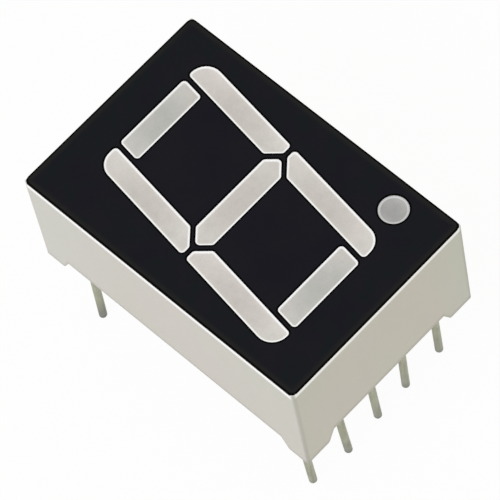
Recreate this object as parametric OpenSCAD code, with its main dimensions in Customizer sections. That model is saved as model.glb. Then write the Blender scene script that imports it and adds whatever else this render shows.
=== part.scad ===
// Seven segment display, one digit with a decimal point and ten pins.
//
// A white reflector housing holds one tapered cavity for each segment. The cavities are filled with
// diffusing resin, the front is printed black round them, and a circuit board with the light-emitting
// dies closes the back under a layer of potting resin.
//
// Frame: the origin is the centre of the seating plane under the four corner feet. +X runs across the
// digit, +Y up the digit and +Z out of the face. Lengths are in millimetres.

/* [Body] */
// Width of the body, across the digit
body_w = 12.6; // [12.5:0.1:14]
// Length of the body, along the digit
body_l = 19.0; // [18.4:0.1:21]
// Height of the printed face above the seating plane
body_h = 8.1; // [6.5:0.1:11]
// Thickness of the walls round the back recess
wall_t = 0.5; // [0.35:0.05:0.55]
// Radius of the body's upright corners
corner_r = 0.15; // [0.1:0.05:0.4]
// Radius of the recess's upright corners
recess_r = 0.3; // [0.1:0.05:0.5]
// Width of the broken edge round the face
edge_break = 0.03; // [0.02:0.01:0.09]
// Thickness of the black print on the face
ink_t = 0.03; // [0.02:0.01:0.1]

/* [Corner feet] */
// Height of the feet, from the seating plane to the walls' lower edge
foot_h = 0.9; // [0.4:0.1:1.4]
// Flat length of a foot along the short walls
foot_flat_x = 1.65; // [0.8:0.05:2.5]
// Flat length of a foot along the long walls
foot_flat_y = 1.35; // [0.8:0.05:2.5]
// Run of the slope from a foot's flat up to the wall's lower edge
foot_run = 0.45; // [0.4:0.05:1.2]
// Radius of the toe between a foot's flat and its slope
foot_toe_r = 0.2; // [0.1:0.05:0.4]

/* [Digit] */
// Height of the digit over its top and bottom bars
digit_h = 14.2; // [12:0.1:16]
// Width of the upright digit over its side strokes
digit_w = 8.18; // [7.6:0.02:9]
// Width of the four side strokes
stroke_w = 1.36; // [1.1:0.02:1.6]
// Height of the three bars
bar_h = 1.42; // [1.1:0.02:1.6]
// Width of the black gap between neighbouring segments
seg_gap = 0.31; // [0.25:0.01:0.5]
// Distance from the digit's side in to where a stroke's diagonal cut meets the digit's middle line
cut_in = 0.415; // [0.3:0.005:0.6]
// Lean of the digit to the right, in degrees
slant = 8; // [0:0.5:10]
// Radius of the digit's four outer corners
outer_r = 1.0; // [0.3:0.05:1.1]
// Radius of every other segment corner
inner_r = 0.22; // [0.1:0.01:0.25]
// Radius of the middle bar's two tips
tip_r = 0.26; // [0.1:0.01:0.3]
// Place of the digit's centre across the face
digit_x = -0.03; // [-0.2:0.01:0.1]
// Place of the digit's centre along the face
digit_y = 0.13; // [-0.1:0.01:0.14]

/* [Decimal point] */
// Diameter of the decimal point
point_d = 1.64; // [1.3:0.02:1.8]
// Distance from the upright digit's right side out to the decimal point's centre
point_out = 0.69; // [0.5:0.01:0.8]
// Height of the decimal point's centre above the digit's lower edge
point_rise = 0.72; // [0.5:0.01:1.4]

/* [Cavities] */
// Width of the white lip left bare round each cavity
lip = 0.08; // [0.03:0.01:0.09]
// Size of a cavity at its back as a share of its size at the face
taper = 0.6; // [0.55:0.01:0.75]
// Depth by which the cured resin lies below the lip
resin_dip = 0.03; // [0.01:0.01:0.1]
// Thickness of the face over the two cored pockets
core_skin = 1.0; // [0.6:0.1:2]
// Wall between a cored pocket and the cavities round it, at the face
core_wall = 0.5; // [0.4:0.05:1]
// Radius of the cored pockets' upright corners
core_r = 0.5; // [0.3:0.05:1]

/* [Pins] */
// Diameter of the pins' free ends, with their tin
pin_d = 0.46; // [0.4:0.01:0.55]
// Thickness of the tin that the free ends are dipped in
tin_t = 0.01; // [0.005:0.005:0.03]
// Distance from the seating plane down to where the tin begins
tin_drop = 0.2; // [0.1:0.05:0.4]
// Length of the pins below the seating plane
pin_drop = 7.0; // [3:0.1:12]
// Distance from a row's end pin to the long wall beside it, which leaves a pitch of 2.54
pin_margin = 0.72; // [0.7:0.01:1.4]
// Distance from the digit's upper or lower edge out to a row of pins
row_out = 0.52; // [0.5:0.01:0.9]
// Height of the pins' upper ends above the circuit board
pin_proud = 0.45; // [0.4:0.01:0.55]

/* [Circuit board] */
// Thickness of the circuit board
board_t = 1.0; // [0.6:0.1:1.6]
// Clearance between the board's edges and the walls
board_gap = 0.1; // [0.05:0.01:0.15]
// Clearance between a pin's bare wire and its hole in the board
hole_gap = 0.05; // [0.03:0.01:0.08]
// Thickness of the copper
copper_t = 0.035; // [0.018:0.001:0.07]
// Radius of the copper round each pin
pad_r = 0.55; // [0.5:0.01:0.58]
// Radius of the copper under each die
die_pad_r = 0.22; // [0.2:0.01:0.25]
// Radius of the copper under each wire's far end
bond_pad_r = 0.15; // [0.12:0.01:0.2]
// Width of the tracks
track_w = 0.3; // [0.2:0.01:0.4]

/* [Solder joints] */
// Copper left bare round each solder joint
pad_rim = 0.07; // [0.04:0.01:0.12]
// Height of the solder joints
solder_h = 0.35; // [0.2:0.01:0.38]
// Thickness of the solder at the top of a joint
solder_top = 0.05; // [0.03:0.01:0.1]
// Clearance between the solder joints and the groove over them
groove_gap = 0.05; // [0.03:0.01:0.08]
// Depth of the two grooves that clear the pins' upper ends
groove_depth = 0.6; // [0.56:0.01:0.8]

/* [Light emitters] */
// Side of a die
die_side = 0.25; // [0.2:0.01:0.28]
// Height of a die
die_h = 0.2; // [0.1:0.01:0.3]
// Diameter of the bond wires
wire_d = 0.03; // [0.02:0.005:0.04]
// Distance from the middle of a die to its wire's far end
wire_span = 0.5; // [0.46:0.01:0.54]

/* [Potting] */
// Depth of the potting's surface behind the walls' lower edge
potting_inset = 0.3; // [0.1:0.05:0.6]
// Thickness of the potting behind the board
potting_t = 0.8; // [0.4:0.1:1.2]

/* [Hidden] */
$fn = 48;

// Steps in one rounded corner of a segment
arc_steps = 8;
// Overlap of a cut past the surface that it starts from
over = 0.5;
// Facets round a bond wire
wire_sides = 24;
// Pins in each of the two rows
row_pins = 5;

white = [0.86, 0.85, 0.81];
black = [0.08, 0.08, 0.1];
milk = [0.8, 0.79, 0.76];
laminate = [0.55, 0.6, 0.38];
copper = [0.72, 0.45, 0.3];
tin = [0.62, 0.62, 0.56];
solder_grey = [0.7, 0.7, 0.7];
die_amber = [0.75, 0.55, 0.3];
gold = [0.83, 0.66, 0.3];
potting_grey = [0.72, 0.71, 0.66];

// Numbers of the two common pins, in the middle of their rows
low_common = (row_pins + 1) / 2;
high_common = low_common + row_pins;

// Levels, from the seating plane up
potting_z = foot_h + potting_inset;
board_z = potting_z + potting_t;
board_top = board_z + board_t;
rear_z = board_top + copper_t;
face_z = body_h - ink_t;
cavity_depth = face_z - rear_z;

recess_w = body_w - 2 * wall_t;
recess_l = body_l - 2 * wall_t;
// The pins spread between the long walls, and their rows lie just beyond the digit
pin_pitch = (recess_w - 2 * pin_margin) / (row_pins - 1);
row_pitch = digit_h + 2 * row_out;
pin_r = pin_d / 2;
bare_r = pin_r - tin_t;
hole_r = bare_r + hole_gap;
solder_r = pad_r - pad_rim;

// Edges of the upright digit, from its centre
digit_side = digit_w / 2;
digit_top = digit_h / 2;
stroke_in = digit_side - stroke_w;
bar_side = stroke_in - seg_gap;
bar_under = digit_top - bar_h;
middle_top = bar_h / 2;
cut_reach = digit_side - cut_in;
middle_tip = cut_reach - seg_gap * sqrt(2);

point_x = digit_x + digit_side + point_out;
point_y = digit_y - digit_top + point_rise;

// Corners of the upper right stroke, the top bar and the middle bar of the upright digit, counter
// clockwise, with a radius for each
stroke_corners = [
    [stroke_in, cut_reach - stroke_in],
    [cut_reach - seg_gap / 2, seg_gap / 2],
    [digit_side, seg_gap / 2],
    [digit_side, digit_top],
    [stroke_in, digit_top]
];
stroke_radii = [inner_r, inner_r, inner_r, outer_r, inner_r];
bar_corners = [
    [-bar_side, bar_under],
    [bar_side, bar_under],
    [bar_side, digit_top],
    [-bar_side, digit_top]
];
bar_radii = [inner_r, inner_r, inner_r, inner_r];
middle_corners = [
    [-middle_tip, 0],
    [middle_top - middle_tip, -middle_top],
    [middle_tip - middle_top, -middle_top],
    [middle_tip, 0],
    [middle_tip - middle_top, middle_top],
    [middle_top - middle_tip, middle_top]
];
middle_radii = [tip_r, inner_r, inner_r, tip_r, inner_r, inner_r];

SEGMENTS = ["a", "b", "c", "d", "e", "f", "g"];
LIGHTS = concat(SEGMENTS, ["point"]);
PINS = [1:2 * row_pins];

// ---- Outlines -------------------------------------------------------------------------------------

function unit(v) = v / norm(v);
function outward(p, q) = let (d = unit(q - p)) [d.y, -d.x];
function reversed(list) = [for (i = [len(list) - 1:-1:0]) list[i]];
function flipped(list, sx, sy) = [for (p = list) [sx * p.x, sy * p.y]];

// Points round one corner of a counter clockwise outline, rounded to radius r and then moved out by grow
function corner_arc(before, at, after, r, grow) =
    let (
        n0 = outward(before, at),
        n1 = outward(at, after),
        middle = at - r * (n0 + n1) / (1 + n0 * n1),
        start = atan2(n0.y, n0.x),
        sweep = acos(min(1, n0 * n1))
    )
    r == 0 ? [at]
    : [for (i = [0:arc_steps])
        let (turn = start + sweep * i / arc_steps)
        middle + (r + grow) * [cos(turn), sin(turn)]];

function rounded(corners, radii, grow = 0) =
    let (count = len(corners))
    [for (i = [0:count - 1])
        for (p = corner_arc(corners[(i + count - 1) % count], corners[i], corners[(i + 1) % count],
            radii[i], grow)) p];

// ---- Places ---------------------------------------------------------------------------------------

// A point of the upright digit, leaned over and moved to its place on the face
function leaned(p) = [digit_x + p.x + p.y * tan(slant), digit_y + p.y];

function segment_corners(s) =
    s == "a" ? bar_corners
    : s == "b" ? stroke_corners
    : s == "c" ? reversed(flipped(stroke_corners, 1, -1))
    : s == "d" ? flipped(bar_corners, -1, -1)
    : s == "e" ? flipped(stroke_corners, -1, -1)
    : s == "f" ? reversed(flipped(stroke_corners, -1, 1))
    : middle_corners;

function segment_radii(s) =
    s == "a" || s == "d" ? bar_radii
    : s == "b" || s == "e" ? stroke_radii
    : s == "c" || s == "f" ? reversed(stroke_radii)
    : middle_radii;

function segment_outline(s, grow) =
    rounded([for (p = segment_corners(s)) leaned(p)], segment_radii(s), grow);

// Middle of each light's cavity, about which the cavity tapers
function light_at(s) =
    let (
        stroke_x = digit_side - stroke_w / 2,
        stroke_y = (digit_top + seg_gap / 2) / 2,
        bar_y = digit_top - bar_h / 2
    )
    s == "point" ? [point_x, point_y]
    : s == "a" ? leaned([0, bar_y])
    : s == "b" ? leaned([stroke_x, stroke_y])
    : s == "c" ? leaned([stroke_x, -stroke_y])
    : s == "d" ? leaned([0, -bar_y])
    : s == "e" ? leaned([-stroke_x, -stroke_y])
    : s == "f" ? leaned([-stroke_x, stroke_y])
    : leaned([0, 0]);

// Way that each bond wire runs from its die, in degrees from +X
function wire_turn(s) =
    s == "a" ? 0
    : s == "b" || s == "f" ? 90 - slant
    : s == "c" || s == "e" ? 270 - slant
    : s == "d" || s == "g" ? 180
    : 270;

function wire_way(s) = [cos(wire_turn(s)), sin(wire_turn(s))] * wire_span / 2;
function die_at(s) = light_at(s) - wire_way(s);
function bond_at(s) = light_at(s) + wire_way(s);

// The first row runs left to right below the digit, and the second right to left above it
function pin_at(n) =
    n <= row_pins ? [(n - low_common) * pin_pitch, -row_pitch / 2]
    : [(high_common - n) * pin_pitch, row_pitch / 2];

function light_pin(s) =
    s == "a" ? 7 : s == "b" ? 6 : s == "c" ? 4 : s == "d" ? 2
    : s == "e" ? 1 : s == "f" ? 9 : s == "g" ? 10 : 5;

function track_route(s) =
    let (
        bond = bond_at(s),
        pin = pin_at(light_pin(s)),
        bend = s == "g" ? [[pin.x, bond.y]]
            : s == "b" ? [[pin.x, bond.y + pin.x - bond.x]]
            : []
    )
    concat([bond], bend, [pin]);

// Point at height y on the straight line through p and q
function on_line(p, q, y) = p + (q - p) * (y - p.y) / (q.y - p.y);

// ---- Shared shapes --------------------------------------------------------------------------------

module rounded_rectangle(w, l, r) {
    square([w - 2 * r, l], center = true);
    square([w, l - 2 * r], center = true);
    for (x = [-1, 1])
        for (y = [-1, 1])
            translate([x * (w / 2 - r), y * (l / 2 - r)])
                circle(r = r);
}

module body_outline() {
    rounded_rectangle(body_w, body_l, corner_r);
}

module recess_outline() {
    rounded_rectangle(recess_w, recess_l, recess_r);
}

// Cavity of one segment, full size at the face and tapered to the board
module segment_cavity(s) {
    middle = light_at(s);
    translate([middle.x, middle.y, face_z])
        mirror([0, 0, 1])
            linear_extrude(height = cavity_depth, scale = taper)
                translate(-middle)
                    polygon(segment_outline(s, -lip));
}

module point_cavity() {
    full_r = point_d / 2 - lip;
    translate([point_x, point_y, rear_z])
        cylinder(h = cavity_depth, r1 = taper * full_r, r2 = full_r);
}

// The space above the cured resin, in any cavity
module resin_cut() {
    translate([-body_w / 2, -body_l / 2, face_z - resin_dip])
        cube([body_w, body_l, over]);
}

// Side view of the feet at one end of a wall: flat, then a rounded toe and a slope up to the wall's edge
module foot_view(half, flat) {
    polygon(rounded(
        [
            [half - flat - foot_run, foot_h],
            [half - flat, 0],
            [half + over, 0],
            [half + over, foot_h + over],
            [half - flat - foot_run, foot_h + over]
        ],
        [0, foot_toe_r, 0, 0, 0]
    ));
}

module corner_feet() {
    intersection() {
        linear_extrude(height = foot_h + over)
            difference() {
                body_outline();
                recess_outline();
            }
        for (end = [0, 1])
            mirror([end, 0, 0])
                rotate([90, 0, 0])
                    linear_extrude(height = body_l + 2 * over, center = true)
                        foot_view(body_w / 2, foot_flat_x);
        for (end = [0, 1])
            mirror([0, end, 0])
                rotate([90, 0, 90])
                    linear_extrude(height = body_w + 2 * over, center = true)
                        foot_view(body_l / 2, foot_flat_y);
    }
}

// Straight track of width w through a list of points, round at each point
module track(points, w) {
    for (p = points)
        translate(p)
            circle(d = w);
    for (i = [1:len(points) - 1]) {
        leg = points[i] - points[i - 1];
        translate(points[i - 1])
            rotate(atan2(leg.y, leg.x))
                translate([0, -w / 2])
                    square([norm(leg), w]);
    }
}

module disc_at(p, r) {
    translate(p)
        circle(r = r);
}

module pin_holes() {
    for (n = PINS)
        translate([pin_at(n).x, pin_at(n).y, board_z - over])
            cylinder(h = board_t + copper_t + 2 * over, r = hole_r);
}

// Flat copper of the given outline, with the pins' holes through it
module copper_layer() {
    color(copper)
        difference() {
            translate([0, 0, board_top])
                linear_extrude(height = copper_t)
                    children();
            pin_holes();
        }
}

// ---- Sub-parts ------------------------------------------------------------------------------------

// Pocket that keeps the moulding's section even inside the upper (1) or lower (-1) loop of the digit
module cored_pocket(half) {
    side = stroke_in + lip - core_wall;
    low = middle_top - lip + core_wall;
    high = bar_under + lip - core_wall;
    corners = [[-side, low], [side, low], [side, high], [-side, high]];
    placed = half > 0 ? corners : flipped(corners, -1, -1);
    translate([0, 0, rear_z - over])
        linear_extrude(height = cavity_depth - core_skin + over)
            polygon(rounded([for (p = placed) leaned(p)], [core_r, core_r, core_r, core_r]));
}

// Groove over one row of pins, for their upper ends and their solder
module pin_groove(row) {
    half = solder_r + groove_gap;
    length = (row_pins - 1) * pin_pitch + 2 * half;
    translate([-length / 2, row * row_pitch / 2 - half, rear_z - over])
        cube([length, 2 * half, groove_depth + over]);
}

// Wedge that breaks one edge of the face, along a side that lies at distance reach
module edge_cut(reach, length) {
    translate([0, reach, face_z])
        rotate([45, 0, 0])
            cube([length + 2 * over, edge_break * sqrt(2), edge_break * sqrt(2)], center = true);
}

module reflector_housing() {
    color(white)
        difference() {
            union() {
                translate([0, 0, foot_h])
                    linear_extrude(height = face_z - foot_h)
                        body_outline();
                corner_feet();
            }
            translate([0, 0, -over])
                linear_extrude(height = rear_z + over)
                    recess_outline();
            for (s = SEGMENTS)
                segment_cavity(s);
            point_cavity();
            for (side = [-1, 1]) {
                cored_pocket(side);
                pin_groove(side);
            }
            for (turn = [0, 180])
                rotate(turn) {
                    edge_cut(body_l / 2, body_w);
                    rotate(90)
                        edge_cut(body_w / 2, body_l);
                }
        }
}

module face_ink() {
    color(black)
        translate([0, 0, face_z])
            linear_extrude(height = ink_t)
                difference() {
                    rounded_rectangle(body_w - 2 * edge_break, body_l - 2 * edge_break,
                        corner_r - edge_break);
                    for (s = SEGMENTS)
                        polygon(segment_outline(s, 0));
                    disc_at([point_x, point_y], point_d / 2);
                }
}

module segment_fill(s) {
    color(milk)
        difference() {
            segment_cavity(s);
            resin_cut();
            die(s);
            bond_wire(s);
        }
}

module decimal_point() {
    color(milk)
        difference() {
            point_cavity();
            resin_cut();
            die("point");
            bond_wire("point");
        }
}

module circuit_board() {
    color(laminate)
        difference() {
            translate([0, 0, board_z + board_t / 2])
                cube([recess_w - 2 * board_gap, recess_l - 2 * board_gap, board_t], center = true);
            pin_holes();
        }
}

// Copper that joins the two common pins and carries every die
module common_track() {
    copper_layer() {
        track([pin_at(high_common), die_at("a"), die_at("g"), die_at("d"), pin_at(low_common)], track_w);
        for (s = ["b", "f"])
            track([on_line(die_at("a"), die_at("g"), die_at(s).y), die_at(s)], track_w);
        for (s = ["c", "e"])
            track([on_line(die_at("g"), die_at("d"), die_at(s).y), die_at(s)], track_w);
        track([die_at("c"), [die_at("point").x, die_at("c").y], die_at("point")], track_w);
        for (s = LIGHTS)
            disc_at(die_at(s), die_pad_r);
        for (n = [low_common, high_common])
            disc_at(pin_at(n), pad_r);
    }
}

module light_track(s) {
    copper_layer() {
        track(track_route(s), track_w);
        disc_at(bond_at(s), bond_pad_r);
        disc_at(pin_at(light_pin(s)), pad_r);
    }
}

module die(s) {
    color(die_amber)
        translate([die_at(s).x, die_at(s).y, rear_z + die_h / 2])
            cube([die_side, die_side, die_h], center = true);
}

// Wire that leaves the top of a die in a half circle and comes down on its track
module bond_wire(s) {
    color(gold)
        translate([light_at(s).x, light_at(s).y, rear_z])
            rotate(wire_turn(s)) {
                translate([wire_span / 2, 0, 0])
                    cylinder(h = die_h, d = wire_d, $fn = wire_sides);
                translate([0, 0, die_h])
                    rotate([90, 0, 0])
                        rotate_extrude(angle = 180)
                            translate([wire_span / 2, 0])
                                circle(d = wire_d, $fn = wire_sides);
            }
}

// Round wire, bare where it passes through the body and tinned on its free end
module pin(n) {
    color(tin)
        translate([pin_at(n).x, pin_at(n).y, 0]) {
            rotate_extrude()
                polygon([
                    [0, pin_r - pin_drop],
                    [pin_r, pin_r - pin_drop],
                    [pin_r, -tin_drop],
                    [bare_r, -tin_drop],
                    [bare_r, board_top + pin_proud],
                    [0, board_top + pin_proud]
                ]);
            translate([0, 0, pin_r - pin_drop])
                sphere(r = pin_r);
        }
}

module solder(n) {
    color(solder_grey)
        difference() {
            translate([pin_at(n).x, pin_at(n).y, rear_z])
                cylinder(h = solder_h, r1 = solder_r, r2 = bare_r + solder_top);
            pin(n);
        }
}

module back_resin() {
    color(potting_grey)
        difference() {
            translate([0, 0, potting_z])
                linear_extrude(height = potting_t)
                    recess_outline();
            for (n = PINS)
                pin(n);
        }
}

// ---- Parts ----------------------------------------------------------------------------------------

reflector_housing();
face_ink();
for (s = SEGMENTS)
    segment_fill(s);
decimal_point();
circuit_board();
common_track();
for (s = LIGHTS)
    light_track(s);
for (s = LIGHTS)
    die(s);
for (s = LIGHTS)
    bond_wire(s);
for (n = PINS)
    pin(n);
for (n = PINS)
    solder(n);
back_resin();
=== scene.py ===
"""Looks of a seven segment display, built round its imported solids.

Meshes are shaped in millimetres and handed over in metres, in the frame of the solids: +X runs
across the digit, +Y up the digit and +Z out of the printed face.
"""

import logging
import math
from dataclasses import dataclass, field
from enum import Enum
from typing import Callable, Dict, List, Optional, Sequence, Tuple, Union

import bmesh
import bpy
from mathutils import Matrix, Quaternion, Vector

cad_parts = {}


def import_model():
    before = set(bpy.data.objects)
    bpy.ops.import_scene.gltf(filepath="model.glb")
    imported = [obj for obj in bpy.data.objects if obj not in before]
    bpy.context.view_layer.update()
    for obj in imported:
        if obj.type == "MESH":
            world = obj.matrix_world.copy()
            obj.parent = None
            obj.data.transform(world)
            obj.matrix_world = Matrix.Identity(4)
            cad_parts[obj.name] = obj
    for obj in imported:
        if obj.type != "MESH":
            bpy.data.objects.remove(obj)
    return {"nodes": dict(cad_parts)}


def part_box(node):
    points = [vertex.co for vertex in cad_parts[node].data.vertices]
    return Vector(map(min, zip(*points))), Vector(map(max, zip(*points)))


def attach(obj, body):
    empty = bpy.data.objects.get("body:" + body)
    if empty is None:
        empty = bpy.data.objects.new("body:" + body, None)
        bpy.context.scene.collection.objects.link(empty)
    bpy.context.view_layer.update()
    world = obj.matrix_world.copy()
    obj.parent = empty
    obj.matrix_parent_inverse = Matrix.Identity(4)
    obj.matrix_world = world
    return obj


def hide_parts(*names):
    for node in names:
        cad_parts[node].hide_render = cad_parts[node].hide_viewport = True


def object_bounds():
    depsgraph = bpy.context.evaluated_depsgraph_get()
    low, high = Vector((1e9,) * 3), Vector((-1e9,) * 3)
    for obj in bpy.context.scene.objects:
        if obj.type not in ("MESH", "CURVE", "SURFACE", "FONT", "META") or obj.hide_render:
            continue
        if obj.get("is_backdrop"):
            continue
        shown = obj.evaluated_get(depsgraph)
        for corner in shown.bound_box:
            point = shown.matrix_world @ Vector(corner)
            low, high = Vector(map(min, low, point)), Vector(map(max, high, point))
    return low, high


LOG = logging.getLogger("display")

MM = 0.001
ROOT = "root"

# Angle between faces past which an edge is sharp, and under which they are one flat face
SHARP_ANGLE = math.radians(32)
FLAT_ANGLE = math.radians(0.5)

# Millimetres between points that are one, and off a level for a point that lies on it
WELD_DISTANCE = 1e-4
LEVEL_DISTANCE = 1e-3

# Least share of Z in the direction of an upright edge
UPRIGHT_SHARE = 0.99

# Lean of the digit's upright strokes, and turn of the print's screen about Z
DIGIT_LEAN = math.radians(8)
SCREEN_TURN = math.radians(22)

# Names of the values that points carry: the print's bead and the resin's thin edge, partly a
# painted highlight
BEAD = "bead"
THIN = "thin"

Colour = Tuple[float, float, float]
Pair = Tuple[float, float]
Triple = Tuple[float, float, float]
Feed = Union["Socket", float, int, Sequence[float]]
Mesh = bmesh.types.BMesh
Face = bmesh.types.BMFace
Edge = bmesh.types.BMEdge
Vert = bmesh.types.BMVert
Thing = bpy.types.Object
Nodes = Dict[str, Thing]
Material = bpy.types.Material

WHITE: Colour = (1.0, 1.0, 1.0)


# ---- Shader maths ------------------------------------------------------------


class Socket:
    """One output of a shader node, on which Python's operators add the Math nodes."""

    def __init__(self, graph: "Graph", port: bpy.types.NodeSocket) -> None:
        """Wraps an output of one of the graph's nodes."""
        self.graph = graph
        self.port = port

    def math(
        self, operation: str, first: Feed, second: Feed = 0.0, clamp: bool = False
    ) -> "Socket":
        """Result of one new Math node, kept between 0 and 1 if it is clamped."""
        settings = {"operation": operation, "use_clamp": clamp}
        return self.graph.add("ShaderNodeMath", settings, {0: first, 1: second})

    def __add__(self, other: Feed) -> "Socket":
        """Sum with another value."""
        return self.math("ADD", self, other)

    def __radd__(self, other: Feed) -> "Socket":
        """Sum with a plain number on the left."""
        return self.math("ADD", other, self)

    def __sub__(self, other: Feed) -> "Socket":
        """Difference from another value."""
        return self.math("SUBTRACT", self, other)

    def __rsub__(self, other: Feed) -> "Socket":
        """Difference of a plain number and this value."""
        return self.math("SUBTRACT", other, self)

    def __mul__(self, other: Feed) -> "Socket":
        """Product with another value."""
        return self.math("MULTIPLY", self, other)

    def __rmul__(self, other: Feed) -> "Socket":
        """Product with a plain number on the left."""
        return self.math("MULTIPLY", other, self)

    def __truediv__(self, other: Feed) -> "Socket":
        """Quotient by another value."""
        return self.math("DIVIDE", self, other)

    def __rtruediv__(self, other: Feed) -> "Socket":
        """Quotient of a plain number by this value."""
        return self.math("DIVIDE", other, self)

    def __pow__(self, other: Feed) -> "Socket":
        """Power of this value."""
        return self.math("POWER", self, other)

    def __rpow__(self, other: Feed) -> "Socket":
        """Plain number to the power of this value."""
        return self.math("POWER", other, self)

    def __abs__(self) -> "Socket":
        """Size of this value."""
        return self.math("ABSOLUTE", self)

    def most(self, other: Feed) -> "Socket":
        """Larger of this and another value."""
        return self.math("MAXIMUM", self, other)

    def least(self, other: Feed) -> "Socket":
        """Smaller of this and another value."""
        return self.math("MINIMUM", self, other)

    def clamped(self) -> "Socket":
        """This value kept between 0 and 1."""
        return self.math("ADD", self, 0.0, clamp=True)

    def centred(self) -> "Socket":
        """Pattern from 0 to 1, moved to run from -0.5 to 0.5."""
        return self - 0.5

    def hypotenuse(self, other: "Socket") -> "Socket":
        """Length of a step whose two sides are this and another value."""
        return (self * self + other * other) ** 0.5


class Graph:
    """Node graph of a material or of the world."""

    def __init__(self, owner: Union[Material, bpy.types.World]) -> None:
        """Empties the owner's node tree and takes it over.

        Args:
            owner: the material or world whose nodes are built.
        """
        owner.use_nodes = True
        self.owner = owner
        self.tree = owner.node_tree
        self.tree.nodes.clear()
        self.axes: Dict[str, Socket] = {}

    def add(
        self,
        kind: str,
        settings: Optional[Dict[str, object]] = None,
        inputs: Optional[Dict[Union[int, str], Feed]] = None,
        output: Union[int, str] = 0,
    ) -> Socket:
        """Adds one node.

        Args:
            kind: the node's type.
            settings: its own settings, set first.
            inputs: values or links of its sockets, by name or number.
            output: the socket that is handed back.

        Returns:
            The chosen output of the new node.
        """
        node = self.tree.nodes.new(kind)
        for name, value in (settings or {}).items():
            setattr(node, name, value)
        for key, value in (inputs or {}).items():
            self._feed(node.inputs[key], value)
        ports = node.outputs
        return Socket(self, ports[output] if len(ports) else node.inputs[0])

    def _feed(self, port: bpy.types.NodeSocket, value: Feed) -> None:
        """Links a socket, or sets its value.

        Args:
            port: the input socket.
            value: another node's output, a number, a vector or a colour.
        """
        if isinstance(value, Socket):
            self.tree.links.new(value.port, port)
        elif isinstance(value, (int, float)):
            port.default_value = value
        else:
            parts = tuple(value)
            wanted = len(port.default_value)
            port.default_value = parts + (1.0,) * (wanted - len(parts))

    def place(self) -> Socket:
        """Point of the surface in the frame, in metres."""
        return self.add("ShaderNodeTexCoord", output="Object")

    def marked(self, name: str) -> Socket:
        """Value from 0 to 1 that the piece's points carry under a name."""
        return self.add("ShaderNodeAttribute", {"attribute_name": name}, output="Fac")

    def axis(self, name: str) -> Socket:
        """One coordinate of the surface's point, in millimetres.

        Args:
            name: X, Y or Z.

        Returns:
            The coordinate.
        """
        if name not in self.axes:
            metres = self.add("ShaderNodeSeparateXYZ", inputs={0: self.place()}, output=name)
            self.axes[name] = metres * (1 / MM)
        return self.axes[name]

    def from_outline(self, half: Pair, corner: float = 0.0) -> Socket:
        """Distance in from the body's outline, in millimetres.

        Args:
            half: half the body's size across and along the digit.
            corner: radius of the outline's corners.

        Returns:
            The distance.
        """
        past = [abs(self.axis(axis)) - (size - corner) for axis, size in zip("XY", half)]
        beyond = past[0].most(0.0).hypotenuse(past[1].most(0.0))
        return corner - beyond - past[0].most(past[1]).least(0.0)

    def stretched(self, per_mm: Sequence[float], turn: float = 0.0) -> Socket:
        """Surface's point, scaled for a pattern.

        Args:
            per_mm: scale along each axis, in pattern units to a millimetre.
            turn: angle about Z that the pattern is turned by.

        Returns:
            The scaled point.
        """
        inputs = {"Vector": self.place(), "Rotation": (0.0, 0.0, turn)}
        turned = self.add("ShaderNodeMapping", inputs=inputs)
        inputs = {"Vector": turned, "Scale": tuple(lumps / MM for lumps in per_mm)}
        return self.add("ShaderNodeMapping", inputs=inputs)

    def noise(self, per_mm: Sequence[float], detail: float = 2.0, turn: float = 0.0) -> Socket:
        """Smooth noise from 0 to 1.

        Args:
            per_mm: lumps to a millimetre along each axis.
            detail: number of finer layers.
            turn: angle about Z that the noise is turned by.

        Returns:
            The noise.
        """
        point = self.stretched(per_mm, turn)
        inputs = {"Vector": point, "Scale": 1.0, "Detail": detail, "Roughness": 0.5}
        return self.add("ShaderNodeTexNoise", inputs=inputs, output="Fac")

    def cells(self, per_mm: float) -> Socket:
        """Distance, in pattern units, to the nearest of scattered points."""
        inputs = {"Vector": self.stretched((per_mm,) * 3), "Scale": 1.0}
        return self.add("ShaderNodeTexVoronoi", {"feature": "F1"}, inputs, "Distance")

    def ramp(self, value: Feed, low: float, high: float) -> Socket:
        """Smooth step of a value, from 0 at its low end to 1 at its high end."""
        inputs = {"Value": value, "From Min": low, "From Max": high, "To Min": 0.0, "To Max": 1.0}
        return self.add("ShaderNodeMapRange", {"interpolation_type": "SMOOTHSTEP"}, inputs)

    def blend(self, share: Feed, first: Feed, second: Feed) -> Socket:
        """Mix of two colours, by the share of the second from 0 to 1."""
        settings = {"data_type": "RGBA", "blend_type": "MIX", "clamp_factor": True}
        return self.add("ShaderNodeMix", settings, {0: share, 6: first, 7: second}, 2)

    def tinted(self, colour: Feed, grey: Feed) -> Socket:
        """Colour made lighter or darker by a factor."""
        inputs = {0: colour, "Scale": grey}
        return self.add("ShaderNodeVectorMath", {"operation": "SCALE"}, inputs)

    def filtered(self, colour: Feed, through: Feed) -> Socket:
        """Colour seen through a tint."""
        inputs = {0: colour, 1: through}
        return self.add("ShaderNodeVectorMath", {"operation": "MULTIPLY"}, inputs)

    def relief(self, height: Feed, depth_mm: float) -> Socket:
        """Normal of a surface with fine relief of a height from 0 to 1, that deep at 1."""
        inputs = {"Strength": 1.0, "Distance": depth_mm * MM, "Height": height}
        return self.add("ShaderNodeBump", inputs=inputs, output="Normal")

    def shown(self) -> Socket:
        """Picks the rays that come from the camera, a reflection or a clear piece.

        Returns:
            1 for those rays, and 0 for the rest.
        """
        names = ("Is Camera Ray", "Is Glossy Ray", "Is Transmission Ray")
        rays = [self.add("ShaderNodeLightPath", output=name) for name in names]
        return rays[0].most(rays[1]).most(rays[2])

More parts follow.
